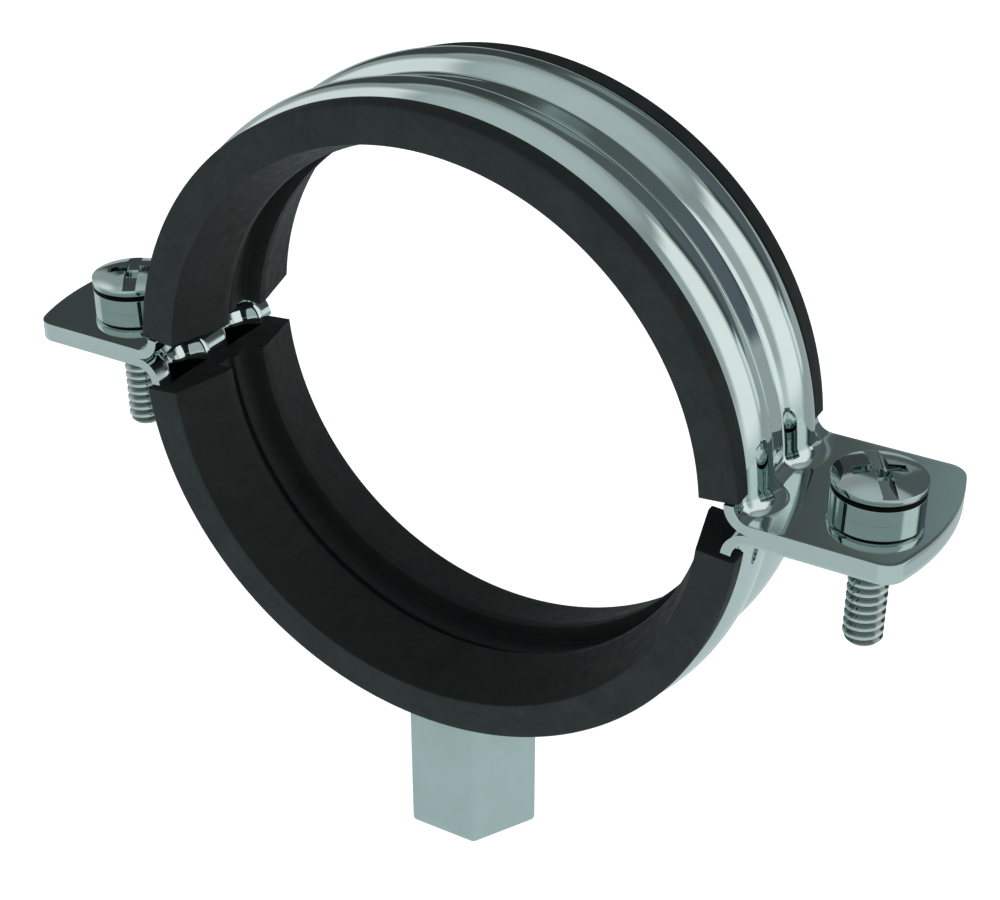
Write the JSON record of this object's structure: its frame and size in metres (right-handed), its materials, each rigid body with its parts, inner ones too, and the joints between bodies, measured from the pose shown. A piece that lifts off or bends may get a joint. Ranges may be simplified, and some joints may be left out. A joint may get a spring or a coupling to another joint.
{
  "type": "pipe ring",
  "caption": "Two-screw split pipe ring of ribbed steel strip with a rubber liner and a hexagonal threaded boss under it.",
  "frame": {"origin": "centre of the pipe bore, in the split plane, half way along the liner", "axes": "+X along the ears towards the right screw, +Y along the pipe away from the camera side, +Z in the split direction, away from the boss"},
  "size_m": [0.125, 0.0256, 0.1081],
  "materials": {
    "band_steel": "bright zinc-plated sheet, mirror-like",
    "boss_steel": "satin zinc-plated",
    "screw_steel": "semi-gloss zinc-plated",
    "liner_rubber": "matt black rubber",
    "ring_plastic": "black"
  },
  "bodies": {
    "lower_half": {"lower_band": "band_steel", "lower_liner": "liner_rubber", "boss": "boss_steel"},
    "upper_half": {"upper_band": "band_steel", "upper_liner": "liner_rubber"},
    "left_screw": {"screw_left": "screw_steel", "retaining_ring_left": "ring_plastic", "collar_left": "screw_steel"},
    "right_screw": {"screw_right": "screw_steel", "retaining_ring_right": "ring_plastic", "collar_right": "screw_steel"}
  },
  "joints": [
    {"name": "upper_lift", "type": "slide", "parent": "lower_half", "child": "upper_half", "axis": [0, 0, 1], "range_m": [0, 0.018]},
    {"name": "screw_right_turn", "type": "hinge", "parent": "upper_half", "child": "right_screw", "pos_m": [0.0538, 0, 0], "axis": [0, 0, 1], "range_deg": [0, 5400]},
    {"name": "screw_left_turn", "type": "hinge", "parent": "upper_half", "child": "left_screw", "pos_m": [-0.0538, 0, 0], "axis": [0, 0, 1], "range_deg": [0, 5400]}
  ],
  "couplings": [
    {"joint": "screw_right_turn", "follows": "upper_lift", "rad_per_m": 5235.9},
    {"joint": "screw_left_turn", "follows": "upper_lift", "rad_per_m": 5235.9}
  ]
}
